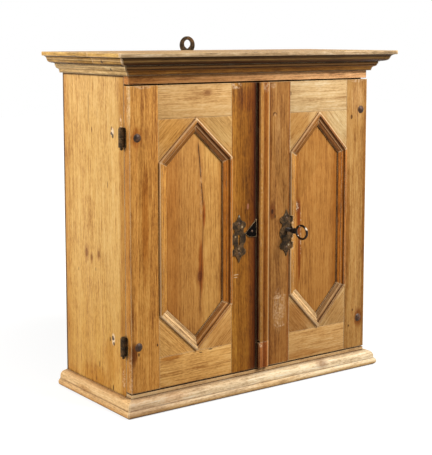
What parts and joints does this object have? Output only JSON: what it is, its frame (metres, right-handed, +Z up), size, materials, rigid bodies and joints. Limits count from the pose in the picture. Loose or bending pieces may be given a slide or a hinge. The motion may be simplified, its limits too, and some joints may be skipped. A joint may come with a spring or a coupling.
{
  "type": "wall cabinet",
  "caption": "Hanging softwood wall cabinet with a stepped cornice, a moulded base, panelled doors with raised hexagonal mouldings, iron hinges, a lock with its key, and a shelf inside.",
  "frame": {"origin": "Under the middle of the whole object, on the plane of the underside; the middle in depth counts the key in the lock.", "axes": "+Z up, -Y out of the doors towards the room, +Y into the wall, +X to the right seen from the front."},
  "size_m": [0.664, 0.3095, 0.6897],
  "materials": {
    "side_wood": "aged waxed softwood, warm honey, satin",
    "case_wood": "aged softwood, unfinished inside, dull",
    "back_wood": "rough sawn softwood, darkened, dull",
    "stile_wood": "aged waxed softwood, orange brown, satin",
    "rail_wood": "aged waxed softwood, pale, satin",
    "panel_wood": "aged waxed softwood, orange brown with knots, satin",
    "moulding_wood": "aged waxed softwood, pale with dirt in the hollows, satin",
    "cornice_wood": "aged waxed softwood, pale with dirt in the hollows, satin",
    "forged_iron": "hand-forged iron, brown-black, dull"
  },
  "bodies": {
    "case": {"side_left": "side_wood", "side_right": "side_wood", "top_board": "case_wood", "bottom_board": "case_wood", "shelf": "case_wood", "back_board_left": "back_wood", "back_board_middle": "back_wood", "back_board_right": "back_wood", "frieze_rail": "rail_wood", "plinth_rail": "rail_wood", "crown_front": "cornice_wood", "crown_left": "cornice_wood", "crown_left_rear": "cornice_wood", "crown_right": "cornice_wood", "bed_front": "cornice_wood", "bed_left": "cornice_wood", "bed_right": "cornice_wood", "base_front": "cornice_wood", "base_left": "cornice_wood", "base_right": "cornice_wood", "hanging_plate": "forged_iron", "case_hinges": "forged_iron", "hinge_pins": "forged_iron", "case_nails": "forged_iron"},
    "left_door": {"left_hinge_stile_board": "stile_wood", "left_lock_stile_board": "stile_wood", "left_top_rail": "rail_wood", "left_bottom_rail": "rail_wood", "left_panel": "panel_wood", "left_spandrels": "rail_wood", "left_upright_mouldings": "moulding_wood", "left_rising_mouldings": "moulding_wood", "left_falling_mouldings": "moulding_wood", "left_door_hinges": "forged_iron", "left_door_nails": "forged_iron", "left_keyhole_plate": "forged_iron", "strike_plate": "forged_iron", "slide_bolt_plate": "forged_iron"},
    "right_door": {"right_hinge_stile_board": "stile_wood", "right_lock_stile_board": "stile_wood", "right_top_rail": "rail_wood", "right_bottom_rail": "rail_wood", "right_panel": "panel_wood", "right_spandrels": "rail_wood", "right_upright_mouldings": "moulding_wood", "right_rising_mouldings": "moulding_wood", "right_falling_mouldings": "moulding_wood", "right_door_hinges": "forged_iron", "right_door_nails": "forged_iron", "right_keyhole_plate": "forged_iron", "meeting_strip": "stile_wood", "meeting_strip_patch": "stile_wood", "lock_plate": "forged_iron", "lock_cover": "forged_iron", "lock_spring": "forged_iron"},
    "left_door_bolt": {"slide_bolt": "forged_iron"},
    "lock_bolt": {"lock_bolt": "forged_iron"},
    "key": {"key": "forged_iron"}
  },
  "joints": [
    {"name": "left_door_hinge", "type": "hinge", "parent": "case", "child": "left_door", "pos_m": [-0.2929, -0.071, 0.04], "axis": [0, 0, -1], "range_deg": [0, 180]},
    {"name": "right_door_hinge", "type": "hinge", "parent": "case", "child": "right_door", "pos_m": [0.2929, -0.071, 0.04], "axis": [0, 0, 1], "range_deg": [0, 180]},
    {"name": "left_bolt_slide", "type": "slide", "parent": "left_door", "child": "left_door_bolt", "axis": [0, 0, -1], "range_m": [0, 0.016]},
    {"name": "key_turn", "type": "hinge", "parent": "right_door", "child": "key", "pos_m": [0.0745, -0.08925, 0.3105], "axis": [0, -1, 0], "range_deg": [0, 360]},
    {"name": "lock_bolt_slide", "type": "slide", "parent": "right_door", "child": "lock_bolt", "axis": [-1, 0, 0], "range_m": [0, 0.0153]}
  ],
  "couplings": [
    {"joint": "lock_bolt_slide", "follows": "key_turn", "m_per_rad": 0.0023873}
  ]
}
